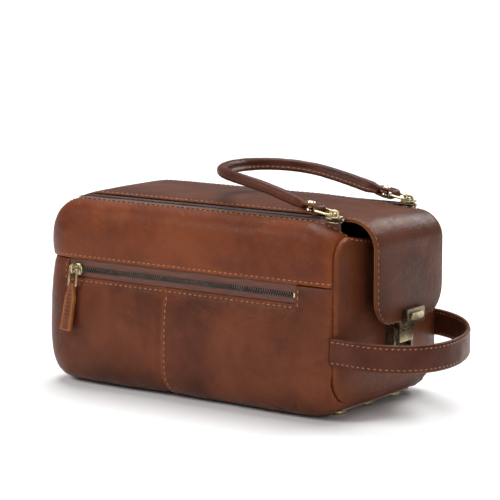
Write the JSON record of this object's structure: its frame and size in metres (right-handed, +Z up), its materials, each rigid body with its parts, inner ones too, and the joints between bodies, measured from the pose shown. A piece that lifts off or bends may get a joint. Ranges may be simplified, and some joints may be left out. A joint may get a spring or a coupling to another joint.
{
  "type": "toiletry bag",
  "caption": "Soft leather wash bag with a zip-edged top cover, locking end flap, carry handle, zipped front pocket and a side strap to hang it by.",
  "frame": {"origin": "bottom centre of the bounding box, on the plane the feet stand on", "axes": "+Z up, +X towards the end with the flap and side strap, -Y towards the front pocket"},
  "size_m": [0.331, 0.1522, 0.1708],
  "materials": {
    "panel_leather": "pull-up leather, semi-gloss, mottled",
    "cover_leather": "darker pull-up leather, waxed",
    "facing_leather": "thin facing leather, matt",
    "strap_leather": "dark stitched strap leather, waxed",
    "lining_fabric": "dark woven lining",
    "padding": "foam interlining, hidden",
    "base_board": "stiffening board, hidden",
    "zip_tape": "woven brown zip tape",
    "coil_teeth": "dark coil zip teeth",
    "metal_teeth": "dark antique brass zip teeth",
    "antique_brass": "antique brass, worn bright on its edges",
    "bright_brass": "pale brass rivet caps",
    "spring_steel": "spring steel, hidden",
    "handle_core": "twisted fibre core, hidden"
  },
  "bodies": {
    "body": {"front_upper_panel": "panel_leather", "front_lower_left_panel": "panel_leather", "front_lower_right_panel": "panel_leather", "back_upper_panel": "panel_leather", "back_lower_panel": "panel_leather", "base_panel": "panel_leather", "left_end_panel": "panel_leather", "right_end_panel": "panel_leather", "right_end_facing": "facing_leather", "body_lining": "lining_fabric", "base_board": "base_board", "base_feet": "antique_brass", "foot_washers": "antique_brass", "front_zip_tape_body": "zip_tape", "back_zip_tape_body": "zip_tape", "front_zip_teeth_body": "coil_teeth", "back_zip_teeth_body": "coil_teeth", "top_zip_bottom_stops": "antique_brass", "pocket_bag": "lining_fabric", "pocket_tape_upper": "zip_tape", "pocket_tape_lower": "zip_tape", "pocket_teeth_upper": "metal_teeth", "pocket_teeth_lower": "metal_teeth", "pocket_zip_stops": "metal_teeth", "side_strap": "strap_leather", "keeper": "antique_brass", "keeper_backing": "antique_brass", "keeper_rivets": "antique_brass"},
    "cover": {"top_cover": "cover_leather", "cover_padding": "padding", "cover_lining": "lining_fabric", "cover_end_facing": "facing_leather", "front_zip_tape_cover": "zip_tape", "back_zip_tape_cover": "zip_tape", "front_zip_teeth_cover": "coil_teeth", "back_zip_teeth_cover": "coil_teeth", "top_zip_top_stops": "antique_brass"},
    "flap": {"end_flap": "cover_leather", "flap_backing": "facing_leather", "lock_case": "antique_brass", "lock_tongue": "antique_brass", "lock_rivets": "antique_brass", "lock_spring": "spring_steel"},
    "lock_button": {"lock_button": "antique_brass"},
    "front_slider": {"front_slider": "antique_brass"},
    "back_slider": {"back_slider": "antique_brass"},
    "handle": {"handle_rings": "antique_brass", "handle_cover": "strap_leather", "handle_core": "handle_core", "front_handle_loop": "strap_leather", "back_handle_loop": "strap_leather", "handle_rivets": "bright_brass"},
    "pocket_slider": {"pocket_slider": "antique_brass"},
    "pocket_pull": {"pocket_pull": "antique_brass"},
    "pocket_tab": {"pocket_tab": "strap_leather"}
  },
  "joints": [
    {"name": "cover_hinge", "type": "hinge", "parent": "body", "child": "cover", "pos_m": [-0.1415, 0.00605, 0.1432], "axis": [0, -1, 0], "range_deg": [0, 150]},
    {"name": "flap_hinge", "type": "hinge", "parent": "cover", "child": "flap", "pos_m": [0.11306, 0.00605, 0.13676], "axis": [0, -1, 0], "range_deg": [0, 135]},
    {"name": "lock_press", "type": "slide", "parent": "flap", "child": "lock_button", "axis": [-1, 0, 0], "range_m": [0, 0.0015], "stiffness_N_per_m": 300},
    {"name": "front_slider_slide", "type": "slide", "parent": "cover", "child": "front_slider", "axis": [-1, 0, 0], "range_m": [0, 0.214]},
    {"name": "back_slider_slide", "type": "slide", "parent": "cover", "child": "back_slider", "axis": [-1, 0, 0], "range_m": [0, 0.214]},
    {"name": "handle_swing", "type": "hinge", "parent": "front_slider", "child": "handle", "pos_m": [0.0865, 0.00605, 0.1456], "axis": [0, 1, 0], "range_deg": [0, 150]},
    {"name": "pocket_slider_slide", "type": "slide", "parent": "body", "child": "pocket_slider", "axis": [1, 0, 0], "range_m": [0, 0.1886]},
    {"name": "pocket_pull_swing", "type": "hinge", "parent": "pocket_slider", "child": "pocket_pull", "pos_m": [-0.1288, -0.0682, 0.089], "axis": [-1, 0, 0], "range_deg": [0, 100]},
    {"name": "pocket_tab_swing", "type": "hinge", "parent": "pocket_pull", "child": "pocket_tab", "pos_m": [-0.1288, -0.06987, 0.07712], "axis": [-1, 0, 0], "range_deg": [0, 75]}
  ],
  "couplings": [
    {"joint": "back_slider_slide", "follows": "front_slider_slide", "ratio": 1}
  ]
}
